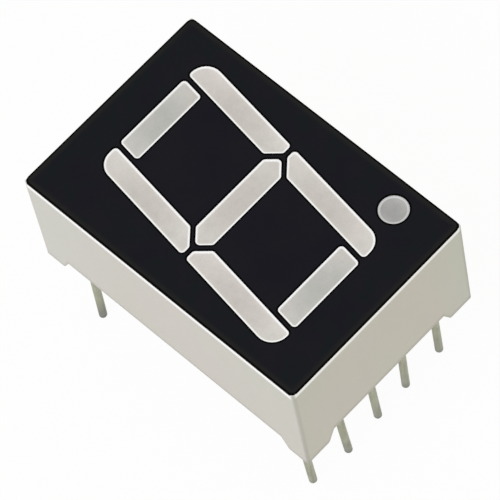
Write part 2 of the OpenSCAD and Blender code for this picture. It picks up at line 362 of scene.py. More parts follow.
    def surface(
        self, tone: Feed, rough: Feed, normal: Feed, others: Optional[Dict[str, Feed]] = None
    ) -> Material:
        """Closes the graph with a Principled surface.

        Args:
            tone: its colour.
            rough: its roughness.
            normal: its normal.
            others: values or links of its other sockets, by name.

        Returns:
            The finished material.
        """
        inputs = {"Base Color": tone, "Roughness": rough, "Normal": normal, **(others or {})}
        shader = self.add("ShaderNodeBsdfPrincipled", inputs=inputs)
        self.add("ShaderNodeOutputMaterial", inputs={"Surface": shader})
        return self.owner


# ---- Finishes ----------------------------------------------------------------


def new_graph(name: str) -> Graph:
    """Empty graph of a new material."""
    return Graph(bpy.data.materials.new(name))


@dataclass(frozen=True)
class Lumps:
    """Noise of a finish: lumps to a millimetre on each axis, finer layers and turn about Z."""

    per_mm: Triple
    layers: float = 2.0
    turn: float = 0.0

    def on(self, g: Graph) -> Socket:
        """The noise, from 0 to 1."""
        return g.noise(self.per_mm, self.layers, self.turn)


def even(per_mm: float, layers: float = 2.0) -> Lumps:
    """Noise whose lumps are of one size every way."""
    return Lumps((per_mm, per_mm, per_mm), layers)


class Mixture:
    """Sum of a base and of patterns, each with its own share."""

    def __init__(self, base: float, *shares: float) -> None:
        """Keeps the base, and what each pattern adds where it is 1."""
        self.base = base
        self.shares = shares

    def of(self, *patterns: Socket) -> Socket:
        """The sum for some patterns, in the order of the shares."""
        return sum((share * pattern for share, pattern in zip(self.shares, patterns)), self.base)


@dataclass(frozen=True)
class MouldedWhite:
    """Satin white plastic of the housing.

    It has a painted highlight in a band along its front edges, and painted shade that darkens it
    along its lower edges and up its corners. The print's ink laps over its outer edge. On the short
    walls the painted highlight and the lap are narrower. A pair runs from where a step begins to
    where it is full.
    """

    half: Pair
    face_z: float
    point: Pair
    body: Colour = (0.588, 0.556, 0.5)
    green: Colour = (0.57, 0.558, 0.488)
    rosy: Colour = (0.6, 0.552, 0.5)
    # Painted light: the paler tone towards the digit's top
    painted_light_head: Colour = (0.6, 0.592, 0.535)
    side: Colour = (0.555, 0.562, 0.495)
    # Painted highlight: colour of the bright band along the walls' front edges
    rim: Colour = (0.98, 0.98, 0.97)
    ink: Colour = (0.002, 0.0015, 0.001)
    cloud: Lumps = Lumps((0.16, 0.16, 0.1))
    green_step: Pair = (0.36, 0.62)
    blush: Lumps = Lumps((0.3, 0.3, 0.14))
    rosy_step: Pair = (0.45, 0.7)
    rosy_share: float = 0.6
    head_start: float = 2.0
    side_start: float = 3.6
    end_share: float = 0.8
    flow: Lumps = Lumps((1.1, 1.1, 0.3))
    speck: Lumps = even(6.0)
    shade: Mixture = Mixture(0.96, 0.04, 0.04)
    foot_h: float = 0.9
    foot_flat: Pair = (1.65, 1.35)
    foot_run: float = 0.45
    # Painted shade along the walls' lower edges: how much it darkens
    worn: float = 0.15
    low_shade_rise: Pair = (0.46, 0.16)
    low_shade_skin: Pair = (0.08, 0.0)
    # Painted shade up the upright corners: how much it darkens
    corner_shade: float = 0.17
    corner_shade_long: Pair = (-0.15, -0.02)
    corner_shade_short: Pair = (0.3, 0.08)
    corner_shade_skin: Pair = (0.13, 0.06)
    corner_step: Pair = (-0.05, 0.05)
    # Painted highlight: where the band along the front edges begins and where it is full
    highlight_depth: Pair = (0.56, 0.34)
    highlight_lift: float = 0.12
    highlight_skin: Pair = (-0.09, -0.01)
    point_reach: Pair = (1.05, 0.95)
    point_highlight_dim: float = 0.42
    ink_depth: Pair = (0.09, 0.08)
    ink_lift: float = 0.08
    ink_reach: Pair = (0.12, 0.1)
    ink_skin: Pair = (-0.04, -0.015)
    ink_corner: float = 0.36
    grain: Lumps = even(9.0, 3.0)
    rough: Mixture = Mixture(0.42, 0.12)
    sheen: float = 0.35
    relief: Mixture = Mixture(0.0, 1.0, 0.4)
    relief_depth: float = 0.0022

    def material(self) -> Material:
        """Builds the material.

        Returns:
            The material.
        """
        g = new_graph("housing white plastic")
        flow, grain = self.flow.on(g), self.grain.on(g)
        # Painted shade darkens the lower edges and the upright corners
        grey = self.shade.of(flow, self.speck.on(g)) * self._painted_edge_shade(g)
        tone = g.tinted(self._clouded(g), grey)
        printed = g.from_outline(self.half, self.ink_corner)
        # Painted highlight in a band along the walls' front edges
        front = self._near_face(g, self.highlight_depth, self.highlight_lift) * g.ramp(printed, *self.highlight_skin)
        tone = g.blend(front, tone, self._highlight_tone(g))
        outer = g.ramp(printed, *self.ink_reach) * g.ramp(printed, *self.ink_skin)
        tone = g.blend(outer * self._near_face(g, self.ink_depth, self.ink_lift), tone, self.ink)
        normal = g.relief(self.relief.of(grain, flow), self.relief_depth)
        return g.surface(tone, self.rough.of(grain), normal, {"Specular IOR Level": self.sheen})

    def _clouded(self, g: Graph) -> Socket:
        """Plastic's own tone, mottled, greener to its right side, with painted light paler to its
        top.

        Args:
            g: the material's graph.

        Returns:
            The colour.
        """
        tone = g.blend(g.ramp(self.cloud.on(g), *self.green_step), self.body, self.green)
        tone = g.blend(self.rosy_share * g.ramp(self.blush.on(g), *self.rosy_step), tone, self.rosy)
        # Painted light, paler towards the digit's top
        painted_light_head = self.end_share * g.ramp(g.axis("Y"), self.head_start, self.half[1])
        side = self.end_share * g.ramp(g.axis("X"), self.side_start, self.half[0])
        return g.blend(side, g.blend(painted_light_head, tone, self.painted_light_head), self.side)

    def _painted_edge_shade(self, g: Graph) -> Socket:
        """Grey of the painted shade that darkens the walls' lower edges and the upright corners.

        Args:
            g: the material's graph.

        Returns:
            The grey, 1 where no shade is painted.
        """
        outside = g.from_outline(self.half)
        # Painted shade along the walls' lower edges
        worn = g.ramp(g.axis("Z") - self._lower_edge(g), *self.low_shade_rise)
        worn = worn * g.ramp(outside, *self.low_shade_skin)
        # Painted shade up the upright corners
        past = self._past_corner(g)
        corner_shade = g.ramp(past, *self.corner_shade_long) * g.ramp(past, *self.corner_shade_short)
        corner_shade = corner_shade * g.ramp(outside, *self.corner_shade_skin)
        return (1.0 - self.worn * worn) * (1.0 - self.corner_shade * corner_shade)

    def _lower_edge(self, g: Graph) -> Socket:
        """Height of the walls' lower edge, which climbs from each corner's foot.

        Args:
            g: the material's graph.

        Returns:
            The height, in millimetres.
        """
        climbs = [
            ((half - abs(g.axis(axis)) - flat) / self.foot_run).clamped()
            for axis, half, flat in zip("XY", self.half, self.foot_flat)
        ]
        return self.foot_h * climbs[0].most(climbs[1])

    def _past_corner(self, g: Graph) -> Socket:
        """Distance past the upright corner: below 0 on a long wall, above 0 on a short one."""
        return (self.half[0] - abs(g.axis("X"))) - (self.half[1] - abs(g.axis("Y")))

    def _near_face(self, g: Graph, depth: Pair, lift: float) -> Socket:
        """Band of the walls under the face, narrower by the lift on the short walls."""
        height = g.axis("Z") - lift * g.ramp(self._past_corner(g), *self.corner_step)
        return g.ramp(height, self.face_z - depth[0], self.face_z - depth[1])

    def _highlight_tone(self, g: Graph) -> Socket:
        """Tone of the painted highlight along the front edges, which is duller round the decimal
        point.
        """
        away = (g.axis("X") - self.point[0]).hypotenuse(g.axis("Y") - self.point[1])
        return g.tinted(self.rim, 1.0 - self.point_highlight_dim * g.ramp(away, *self.point_reach))


@dataclass(frozen=True)
class PrintedBlack:
    """Satin black screen print of the face, worn in patches, with painted sheen inside its dark
    edge bead.
    """

    half: Pair
    corner: float
    deep: Colour = (0.0028, 0.0024, 0.0062)
    worn: Colour = (0.0044, 0.0041, 0.0068)
    outer: Colour = (0.0024, 0.0038, 0.0055)
    # Painted sheen: the paler tone just inside the print's outer edges
    edge: Colour = (0.0092, 0.009, 0.0085)
    bead: Colour = (0.0012, 0.0006, 0.0)
    cloud: Lumps = even(0.35, 3.0)
    worn_step: Pair = (0.32, 0.68)
    patch: Lumps = even(0.9, 1.0)
    patch_step: Pair = (0.42, 0.54)
    outer_reach: Pair = (3.2, 1.2)
    edge_sheen_reach: Pair = (0.46, 0.14)
    speck: Lumps = even(5.0, 3.0)
    shade: Mixture = Mixture(0.8, 0.4)
    bead_step: Pair = (0.0, 0.2)
    bead_metal: float = 0.8
    rough: Mixture = Mixture(0.4, 0.16)
    sheen: float = 0.1
    threads_x: Lumps = Lumps((9.0, 0.6, 1.0), 1.0, SCREEN_TURN)
    threads_y: Lumps = Lumps((0.6, 9.0, 1.0), 1.0, SCREEN_TURN)
    relief: Mixture = Mixture(0.0, 0.35, 0.35, 0.3)
    relief_depth: float = 0.0016

    def material(self) -> Material:
        """Builds the material.

        Returns:
            The material.
        """
        g = new_graph("face black print")
        speck = self.speck.on(g)
        bead = g.ramp(g.marked(BEAD), *self.bead_step)
        inside = g.from_outline(self.half, self.corner)
        patchy = g.ramp(inside, *self.outer_reach) * g.ramp(self.patch.on(g), *self.patch_step)
        tone = g.blend(g.ramp(self.cloud.on(g), *self.worn_step), self.deep, self.worn)
        tone = g.blend(patchy, tone, self.outer)
        # Painted sheen, a paler band just inside the outer edges
        tone = g.blend(g.ramp(inside, *self.edge_sheen_reach), tone, self.edge)
        tone = g.blend(bead, g.tinted(tone, self.shade.of(speck)), self.bead)
        weave = self.relief.of(self.threads_x.on(g), self.threads_y.on(g), speck)
        normal = g.relief(weave, self.relief_depth)
        others = {"Metallic": self.bead_metal * bead, "Specular IOR Level": self.sheen}
        return g.surface(tone, self.rough.of(speck), normal, others)


class PaintedResinLight(Enum):
    """One milky resin, painted lighter or darker per window by how light falls: over its die, at
    its far ends and at its thin edge.
    """

    BRIGHT = ((0.55, 0.522, 0.482), (0.625, 0.602, 0.562), (0.85, 0.84, 0.81))
    CENTRE = ((0.537, 0.512, 0.47), (0.6, 0.578, 0.538), (0.85, 0.84, 0.81))
    DULL = ((0.45, 0.453, 0.424), (0.545, 0.533, 0.495), (0.8, 0.79, 0.77))
    SHADED = ((0.336, 0.338, 0.326), (0.36, 0.358, 0.345), (0.68, 0.68, 0.68))


@dataclass(frozen=True)
class MilkyResin:
    """Diffusing resin of one window.

    It is cloudy, deepest over its die, and lighter to its ends. Painted light makes it lighter to
    its sides, most to one of them, where light falls into the recessed window.
    """

    name: str
    tone: PaintedResinLight
    middle: Pair
    half_length: float
    across: Pair
    # Painted light: how much the resin is lighter to one side
    tilt: float
    cloud: Lumps = even(0.45, 3.0)
    blush: Colour = (1.018, 0.99, 1.0)
    blush_step: Pair = (0.4, 0.66)
    die_share: float = 0.1
    wander: float = 1.2
    # Painted light: reach of the lighter sides and of their shoulders
    side: float = 0.65
    shoulder: Pair = (0.3, 0.62)
    shoulder_share: float = 0.6
    fleck: Lumps = even(2.2)
    grain: Lumps = even(9.0)
    shade: Mixture = Mixture(0.86, 0.16, 0.12)
    # Thin edge: paler where thin resin lies on the white lip, and brighter still as a painted
    # highlight
    thin_highlight_share: float = 0.8
    rough: Mixture = Mixture(0.32, 0.1)
    sheen: float = 0.4
    coat: float = 0.12
    coat_rough: float = 0.18
    ripple: Lumps = even(1.3)
    relief: Mixture = Mixture(0.0, 0.8, 0.2)
    relief_depth: float = 0.006

    def material(self) -> Material:
        """Builds the material.

        Returns:
            The material.
        """
        over_die, far_end, thin = self.tone.value
        g = new_graph(self.name + " diffusing resin")
        cloud, fleck, grain = self.cloud.on(g), self.fleck.on(g), self.grain.on(g)
        x, y = g.axis("X") - self.middle[0], g.axis("Y") - self.middle[1]
        away = x.hypotenuse(y) + self.wander * cloud.centred()
        end = g.ramp(away, self.die_share * self.half_length, self.half_length)
        tone = g.blend(end, over_die, far_end)
        tone = g.blend(g.ramp(cloud, *self.blush_step), tone, g.filtered(tone, self.blush))
        # Painted light: lighter to the sides, most to one, where light falls into the recessed
        # window
        across = self.across[0] * x + self.across[1] * y
        lit = 1.0 + self.tilt * g.ramp(across, -self.side, self.side).centred()
        lit = lit + self.shoulder_share * self.tilt * g.ramp(abs(across), *self.shoulder)
        tone = g.tinted(tone, lit * self.shade.of(fleck, grain))
        # Thin edge: partly the white lip under thin resin, partly a painted highlight
        tone = g.blend(self.thin_highlight_share * g.marked(THIN), tone, thin)
        normal = g.relief(self.relief.of(self.ripple.on(g), grain), self.relief_depth)
        others = {
            "Specular IOR Level": self.sheen,
            "Coat Weight": self.coat,
            "Coat Roughness": self.coat_rough,
        }
        return g.surface(tone, self.rough.of(fleck), normal, others)


@dataclass(frozen=True)
class TinnedWire:
    """Dull tin of the pins, drawn lengthwise.

    It is darker towards the ends, less so at the digit's left side, and greyer in its upper row.
    The darkening is painted shade, strongest at the rounded tips, and leaves a painted reflection
    of the white housing near the body.
    """

    tip_z: float
    bright: Colour = (0.415, 0.416, 0.314)
    dull: Colour = (0.35, 0.353, 0.26)
    # Painted shade at the pins' ends
    tip: Colour = (0.185, 0.19, 0.183)
    # Greyer, bluer tint of the upper row towards the ends
    upper_row_grey: Colour = (0.56, 0.56, 0.62)
    patch: Lumps = Lumps((2.2, 2.2, 1.1), 3.0)
    dull_step: Pair = (0.35, 0.65)
    drawn: Lumps = Lumps((7.0, 7.0, 0.35))
    shade: Mixture = Mixture(0.72, 0.56)
    # Painted shade towards the ends, which leaves a painted reflection of the housing near the body
    end_share: float = 0.4
    end_shade_reach: float = 2.6
    # Less painted shade at the digit's left side
    left_side_share: float = 0.7
    left_side_x: Pair = (-3.4, -4.4)
    tip_shade_share: float = 0.55
    tip_shade_reach: float = 0.6
    upper_row: Pair = (-1.0, 1.0)
    upper_row_grey_reach: Pair = (2.4, 0.4)
    metal: float = 0.8
    rough: Mixture = Mixture(0.4, 0.16)
    relief: Mixture = Mixture(0.0, 0.7, 0.3)
    relief_depth: float = 0.003

    def material(self) -> Material:
        """Builds the material.

        Returns:
            The material.
        """
        g = new_graph("tinned pin")
        drawn, patch = self.drawn.on(g), self.patch.on(g)
        tone = g.blend(g.ramp(patch, *self.dull_step), self.bright, self.dull)
        tone = g.tinted(tone, self.shade.of(drawn))
        rise = g.axis("Z") - self.tip_z
        left_side = self.left_side_share * g.ramp(g.axis("X"), *self.left_side_x)
        # Painted shade towards the ends, less at the left side; lighter near the body as painted
        # reflection
        end = self.end_share * (1.0 - left_side) * g.ramp(rise, self.end_shade_reach, 0.0)
        # Painted shade at the rounded tips
        tip = self.tip_shade_share * g.ramp(rise, self.tip_shade_reach, 0.0)
        tone = g.blend(end + tip, tone, self.tip)
        # Greyer, bluer towards the ends in the upper row
        upper_row_grey = g.ramp(g.axis("Y"), *self.upper_row) * g.ramp(rise, *self.upper_row_grey_reach)
        tone = g.filtered(tone, g.blend(upper_row_grey, WHITE, self.upper_row_grey))
        normal = g.relief(self.relief.of(drawn, patch), self.relief_depth)
        return g.surface(tone, self.rough.of(patch), normal, {"Metallic": self.metal})


@dataclass(frozen=True)
class CastEpoxy:
    """Potting resin of the back, cloudy, glossy and specked with fine bubbles."""

    milk: Colour = (0.56, 0.545, 0.47)
    deep: Colour = (0.44, 0.425, 0.34)
    cloud: Lumps = even(0.3, 4.0)
    deep_step: Pair = (0.35, 0.65)
    flow: Lumps = even(1.1, 3.0)
    bubbles_per_mm: float = 1.6
    bubble_reach: Pair = (0.16, 0.1)
    shade: Mixture = Mixture(0.95, 0.1, -0.12)
    rough: Mixture = Mixture(0.2, 0.14)
    coat: float = 0.4
    coat_rough: float = 0.08
    relief: Mixture = Mixture(0.0, 1.0, -0.8)
    relief_depth: float = 0.012

    def material(self) -> Material:
        """Builds the material.

        Returns:
            The material.
        """
        g = new_graph("potting resin")
        flow = self.flow.on(g)
        bubbles = g.ramp(g.cells(self.bubbles_per_mm), *self.bubble_reach)
        tone = g.blend(g.ramp(self.cloud.on(g), *self.deep_step), self.milk, self.deep)
        tone = g.tinted(tone, self.shade.of(flow, bubbles))
        normal = g.relief(self.relief.of(flow, bubbles), self.relief_depth)
        others = {"Coat Weight": self.coat, "Coat Roughness": self.coat_rough}
        return g.surface(tone, self.rough.of(flow), normal, others)


@dataclass(frozen=True)
class GlassLaminate:
    """Circuit board of woven glass in epoxy."""

    resin: Colour = (0.32, 0.38, 0.16)
    glass: Colour = (0.42, 0.46, 0.24)
    threads_per_mm: float = 2.4
    wander: float = 0.4
    cloud: Lumps = even(0.5, 3.0)
    shade: Mixture = Mixture(0.9, 0.2)
    rough: Mixture = Mixture(0.45, 0.15)
    relief_depth: float = 0.006

    def material(self) -> Material:
        """Builds the material.

        Returns:
            The material.
        """
        g = new_graph("glass laminate")
        weave = self._threads(g, "X").most(self._threads(g, "Y"))
        cloud = self.cloud.on(g)
        tone = g.tinted(g.blend(weave, self.resin, self.glass), self.shade.of(cloud))
        return g.surface(tone, self.rough.of(weave), g.relief(weave, self.relief_depth))

    def _threads(self, g: Graph, along: str) -> Socket:
        """One set of the weave's threads.

        Args:
            g: the material's graph.
            along: the axis that the set is counted along.

        Returns:
            The threads, from 0 between them to 1 at their crowns.
        """
        settings = {"bands_direction": along}
        point = g.stretched((self.threads_per_mm,) * 3)
        inputs = {"Vector": point, "Scale": 1.0, "Distortion": self.wander, "Detail": 1.0}
        return g.add("ShaderNodeTexWave", settings, inputs, "Fac")


@dataclass(frozen=True)
class BareMetal:
    """Small metal piece inside the body, with a patchy, slightly rough surface."""

    name: str
    bright: Colour
    dull: Colour
    roughness: float = 0.28
    lumps: float = 3.0
    finer: float = 4.0
    dull_step: Pair = (0.35, 0.65)
    shade: Mixture = Mixture(0.9, 0.2)
    patch_rough: float = 0.15
    relief: Mixture = Mixture(0.0, 0.5, 0.5)
    relief_depth: float = 0.002

    def material(self) -> Material:
        """Builds the material.

        Returns:
            The material.
        """
        g = new_graph(self.name)
        patch, fine = even(self.lumps, 3.0).on(g), even(self.finer * self.lumps).on(g)
        tone = g.blend(g.ramp(patch, *self.dull_step), self.bright, self.dull)
        tone = g.tinted(tone, self.shade.of(fine))
        rough = self.roughness + self.patch_rough * patch
        normal = g.relief(self.relief.of(patch, fine), self.relief_depth)
        return g.surface(tone, rough, normal, {"Metallic": 1.0})


@dataclass(frozen=True)
class SawnCrystal:
    """Light-emitting die, a sawn crystal with a darker junction near its top."""

    base_z: float
    bulk: Colour = (0.55, 0.3, 0.1)
    junction: Colour = (0.25, 0.08, 0.03)
    layer: Pair = (0.13, 0.16)
    saw: Lumps = Lumps((6.0, 6.0, 60.0))
    shade: Mixture = Mixture(0.85, 0.3)
    rough: Mixture = Mixture(0.3, 0.3)
    relief_depth: float = 0.002

    def material(self) -> Material:
        """Builds the material.

        Returns:
            The material.
        """
        g = new_graph("sawn crystal")
        saw = self.saw.on(g)
        layer = g.ramp(g.axis("Z") - self.base_z, *self.layer)
        tone = g.tinted(g.blend(layer, self.bulk, self.junction), self.shade.of(saw))
        return g.surface(tone, self.rough.of(saw), g.relief(saw, self.relief_depth))


# ---- Shaping -----------------------------------------------------------------


@dataclass(frozen=True)
class Extent:
    """Box of a CAD node, in millimetres."""

    low: Vector
    high: Vector

    @classmethod
    def of(cls, node: str) -> "Extent":
        """Box of the node of that name."""
        low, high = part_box(node)
        return cls(low / MM, high / MM)

    @property
    def middle(self) -> Vector:
        """Centre of the box."""
        return (self.low + self.high) / 2

    @property
    def size(self) -> Vector:
        """Size of the box."""
        return self.high - self.low


def merged_copy(node: Thing, mark: Optional[str] = None) -> Mesh:
    """Copy of a CAD node's mesh in millimetres, with its doubles merged and its flat faces whole.

    Args:
        node: the CAD node.
        mark: name of the value that its points are to carry, if any.

    Returns:
        The new mesh.
    """
    bm = bmesh.new()
    bm.from_mesh(node.data)
    if mark:
        bm.verts.layers.float.new(mark)
    bm.transform(Matrix.Scale(1 / MM, 4))
    bmesh.ops.remove_doubles(bm, verts=bm.verts[:], dist=WELD_DISTANCE)
    verts, edges = bm.verts[:], bm.edges[:]
    bmesh.ops.dissolve_limit(bm, angle_limit=FLAT_ANGLE, verts=verts, edges=edges)
    bm.normal_update()
    return bm


def on_level(part: Union[Face, Edge], level: float) -> bool:
    """Whether a face or an edge lies at one height."""
    return all(abs(vert.co.z - level) < LEVEL_DISTANCE for vert in part.verts)


def is_upright(edge: Edge) -> bool:
    """Whether an edge runs along Z."""
    return abs((edge.verts[0].co - edge.verts[1].co).normalized().z) > UPRIGHT_SHARE


def points_of(faces: Sequence[Face]) -> List[Vert]:
    """Points of some faces, each once and always in the same order."""
    return list(dict.fromkeys(vert for face in faces for vert in face.verts))


def round_edges(bm: Mesh, edges: Sequence[Edge], radius: float, steps: int = 2) -> None:
    """Rounds edges to a radius in millimetres, with a number of faces across the round."""
    bmesh.ops.bevel(
        bm,
        geom=edges,
        offset=radius,
        offset_type="OFFSET",
        segments=steps,
        profile=0.5,
        affect="EDGES",
        material=-1,
        clamp_overlap=True,
    )


def round_sharp(bm: Mesh, wanted: Callable[[Edge], bool], radius: float) -> None:
    """Rounds the sharp edges that a test picks.

    Args:
        bm: the mesh.
        wanted: test of an edge.
        radius: size of the round, in millimetres.
    """
    whole = [e for e in bm.edges if len(e.link_faces) == 2]
    sharp = [e for e in whole if e.calc_face_angle(0.0) > SHARP_ANGLE]
    round_edges(bm, [e for e in sharp if wanted(e)], radius)


def stepped_skin(
    bm: Mesh, skin: Sequence[Face], widths: Sequence[float], rises: Sequence[float]
) -> None:
    """Insets a skin ring by ring, each with its width and its rise along the skin's normal."""
    for width, rise in zip(widths, rises):
        bmesh.ops.inset_region(
            bm, faces=skin, thickness=width, depth=rise, use_even_offset=True, use_boundary=True
        )


def mark_points(bm: Mesh, name: str, verts: Sequence[Vert], value: float) -> None:
    """Gives points a value from 0 to 1, which a finish reads by its name."""
    for vert in verts:
        vert[bm.verts.layers.float[name]] = value


def in_scene(thing: Thing) -> Thing:
    """Links a new object to the scene and hands it back."""
    bpy.context.scene.collection.objects.link(thing)
    return thing


def solid(bm: Mesh, name: str, material: Material) -> Thing:
    """Object made of a mesh in millimetres.

    Args:
        bm: the mesh; it is freed.
        name: the object's name.
        material: its finish.

    Returns:
        The object.
    """
    bm.transform(Matrix.Scale(MM, 4))
    mesh = bpy.data.meshes.new(name)
    bm.to_mesh(mesh)
    bm.free()
    mesh.materials.append(material)
    return in_scene(bpy.data.objects.new(name, mesh))


def finished_piece(
    bm: Mesh, name: str, material: Material, nodes: Sequence[str]
) -> Thing:
    """Turns a mesh into a dressed piece that stands for its CAD nodes.

    Args:
        bm: the mesh in millimetres; it is freed.
        name: the piece's name.
        material: its finish.
        nodes: the CAD nodes that it replaces.

    Returns:
        The new object.
    """
    bm.normal_update()
    for face in bm.faces:
        face.smooth = True
    for edge in bm.edges:
        edge.smooth = edge.calc_face_angle(0.0) < SHARP_ANGLE
    piece = solid(bm, name, material)
    shading = piece.modifiers.new("even shading", "WEIGHTED_NORMAL")
    shading.keep_sharp = True
    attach(piece, ROOT)
    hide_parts(*nodes)
    return piece


# ---- Sub-assemblies ----------------------------------------------------------


@dataclass
class ReflectorHousing:
    """White moulding with its windows, recess and corner feet."""

    nodes: Nodes
    finish: MouldedWhite
    node: str = "reflector_housing"
    low_round: float = 0.035
    low_reach: float = 1.25

    def build(self) -> List[Thing]:
        """Makes the moulding with its lower edges broken.

        Returns:
            The moulding.
        """
        bm = merged_copy(self.nodes[self.node])
        round_sharp(bm, self._near_bottom, self.low_round)
        material = self.finish.material()
        return [finished_piece(bm, "housing", material, [self.node])]

    def _near_bottom(self, edge: Edge) -> bool:
        """Whether an edge lies round the feet and the walls' lower edges."""
        return not is_upright(edge) and all(v.co.z < self.low_reach for v in edge.verts)


@dataclass
class PrintedFace:
    """Black print round the windows, a thin film that drapes over the broken edge of the face."""

    nodes: Nodes
    half: Pair
    corner: float
    node: str = "face_ink"
    cad_corner: float = 0.12
    film_round: float = 0.012
    shy: float = 0.002
    bead: float = 0.1
    rim_reach: float = 0.2

    def build(self) -> List[Thing]:
        """Makes the film.

        Returns:
            The film.
        """
        box = Extent.of(self.node)
        high = box.high
        bm = merged_copy(self.nodes[self.node], BEAD)
        self._round_corners(bm, high)
        self._drape(bm, box)
        round_sharp(bm, lambda edge: on_level(edge, high.z), self.film_round)
        skin = [f for f in bm.faces if on_level(f, high.z)]
        mark_points(bm, BEAD, bm.verts, 1.0)
        stepped_skin(bm, skin, (self.bead,), (0.0,))
        mark_points(bm, BEAD, points_of(skin), 0.0)
        finish = PrintedBlack(self.half, self.corner).material()
        return [finished_piece(bm, "face_print", finish, [self.node])]

    def _round_corners(self, bm: Mesh, high: Vector) -> None:
        """Gives the film's outer corners their wider round.

        Args:
            bm: the film's mesh.
            high: the upper corner of its box.
        """
        grown = self.corner / self.cad_corner
        for vert in bm.verts:
            past_x = abs(vert.co.x) - high.x + self.cad_corner
            past_y = abs(vert.co.y) - high.y + self.cad_corner
            if min(past_x, past_y) > -WELD_DISTANCE:
                vert.co.x = math.copysign(high.x - self.corner + past_x * grown, vert.co.x)
                vert.co.y = math.copysign(high.y - self.corner + past_y * grown, vert.co.y)

    def _drape(self, bm: Mesh, box: Extent) -> None:
        """Draws the film's rim out over the face's broken edge, nearly to the walls, and down it.

        Args:
            bm: the film's mesh.
            box: the box of its solid.
        """
        high = box.high
        grow = self.half[0] - self.shy - high.x
        inner_x, inner_y = high.x - self.rim_reach, high.y - self.rim_reach
        rim = [v for v in bm.verts if abs(v.co.x) > inner_x or abs(v.co.y) > inner_y]
        bmesh.ops.scale(bm, vec=(1 + grow / high.x, 1 + grow / high.y, 1.0), verts=rim)
        under = [v for v in rim if v.co.z < box.middle.z]
        bmesh.ops.translate(bm, vec=(0.0, 0.0, -grow), verts=under)


class Window(Enum):
    """Shape of a window.

    Each value says how a step across the window counts along X and Y, and how much painted light
    lightens the resin that way.
    """

    UPRIGHT = ((1.0, -math.tan(DIGIT_LEAN)), 0.08)
    BAR = ((0.0, 1.0), 0.03)
    ROUND = ((1.0, 0.0), 0.17)


@dataclass
class ResinWindows:
    """Milky resin in the segments and the decimal point, which climbs a little up its walls."""

    nodes: Nodes
    lip_z: float
    # Each window's painted light, lighter or darker by how light falls on it, and its shape
    looks: Dict[str, Tuple[PaintedResinLight, Window]] = field(
        default_factory=lambda: {
            "segment_a": (PaintedResinLight.DULL, Window.BAR),
            "segment_b": (PaintedResinLight.BRIGHT, Window.UPRIGHT),
            "segment_c": (PaintedResinLight.BRIGHT, Window.UPRIGHT),
            "segment_d": (PaintedResinLight.DULL, Window.BAR),
            "segment_e": (PaintedResinLight.BRIGHT, Window.UPRIGHT),
            "segment_f": (PaintedResinLight.BRIGHT, Window.UPRIGHT),
            "segment_g": (PaintedResinLight.CENTRE, Window.BAR),
            "decimal_point": (PaintedResinLight.SHADED, Window.ROUND),
        }
    )
    rim_drop: float = 0.008
    rim_grow: float = 1.0018
    rings: Pair = (0.028, 0.03)
    ring_rises: Pair = (-0.014, -0.008)

    def build(self) -> List[Thing]:
        """Makes every window's resin."""
        return [self._window(node, tone, shape) for node, (tone, shape) in self.looks.items()]

    def _window(self, node: str, tone: PaintedResinLight, shape: Window) -> Thing:
        """Makes one window's resin.

        Args:
            node: the CAD node.
            tone: how it looks.
            shape: how it runs.

        Returns:
            The new piece.
        """
        bm = merged_copy(self.nodes[node], THIN)
        top_z = max(v.co.z for v in bm.verts)
        skin = [f for f in bm.faces if on_level(f, top_z)]
        rim = points_of(skin)
        to_middle = Matrix.Translation(-sum((v.co for v in rim), Vector()) / len(rim))
        grow = (self.rim_grow, self.rim_grow, 1.0)
        bmesh.ops.scale(bm, vec=grow, space=to_middle, verts=rim)
        bmesh.ops.translate(bm, vec=(0.0, 0.0, self.lip_z - self.rim_drop - top_z), verts=rim)
        mark_points(bm, THIN, bm.verts, 1.0)
        stepped_skin(bm, skin, self.rings, self.ring_rises)
        mark_points(bm, THIN, points_of(skin), 0.0)
        box = Extent.of(node)
        centre = (box.middle.x, box.middle.y)
        half_length = max(box.size.x, box.size.y) / 2
        across, tilt = shape.value
        finish = MilkyResin(node.replace("_", " "), tone, centre, half_length, across, tilt)
        return finished_piece(bm, node + "_resin", finish.material(), [node])


@dataclass
class Pins:
    """Ten tinned wires, each with a rounded end and its own slight lean."""

    nodes: Nodes
    root_z: float
    leans: Dict[int, Pair] = field(
        default_factory=lambda: {
            1: (0.15, -0.05),
            2: (0.12, -0.3),
            3: (0.08, -0.13),
            4: (-0.17, -0.05),
            5: (0.0, 0.0),
            6: (0.06, 0.08),
            7: (-0.09, 0.05),
            8: (0.04, -0.06),
            9: (0.1, 0.09),
            10: (-0.1, 0.1),
        }
    )
    lean_power: float = 1.4
    sides: int = 40
    stages: int = 10
    end_round: float = 0.17
    end_steps: int = 6

    def build(self) -> List[Thing]:
        """Makes the ten pins."""
        material = TinnedWire(Extent.of("pin_1").low.z).material()
        return [self._pin(number, lean, material) for number, lean in self.leans.items()]

    def _pin(self, number: int, lean: Pair, material: Material) -> Thing:
        """Makes one pin.

        Args:
            number: its number.
            lean: how far its end stands off its axis, across and along the digit.
            material: its finish.

        Returns:
            The new piece.
        """
        node = "pin_%d" % number
        box = Extent.of(node)
        bm = bmesh.new()
        bmesh.ops.create_cone(
            bm,
            cap_ends=True,
            segments=self.sides,
            radius1=box.size.x / 2,
            radius2=box.size.x / 2,
            depth=box.size.z,
            matrix=Matrix.Translation(box.middle),
        )
        sides = [e for e in bm.edges if is_upright(e)]
        bmesh.ops.subdivide_edges(bm, edges=sides, cuts=self.stages - 1, use_grid_fill=True)
        rim = [e for e in bm.edges if on_level(e, box.low.z)]
        round_edges(bm, rim, self.end_round, self.end_steps)
        free = self.root_z - box.low.z
        for vert in bm.verts:
            share = max(0.0, (self.root_z - vert.co.z) / free) ** self.lean_power
            vert.co.x += lean[0] * share
            vert.co.y += lean[1] * share
        return finished_piece(bm, node + "_wire", material, [node])


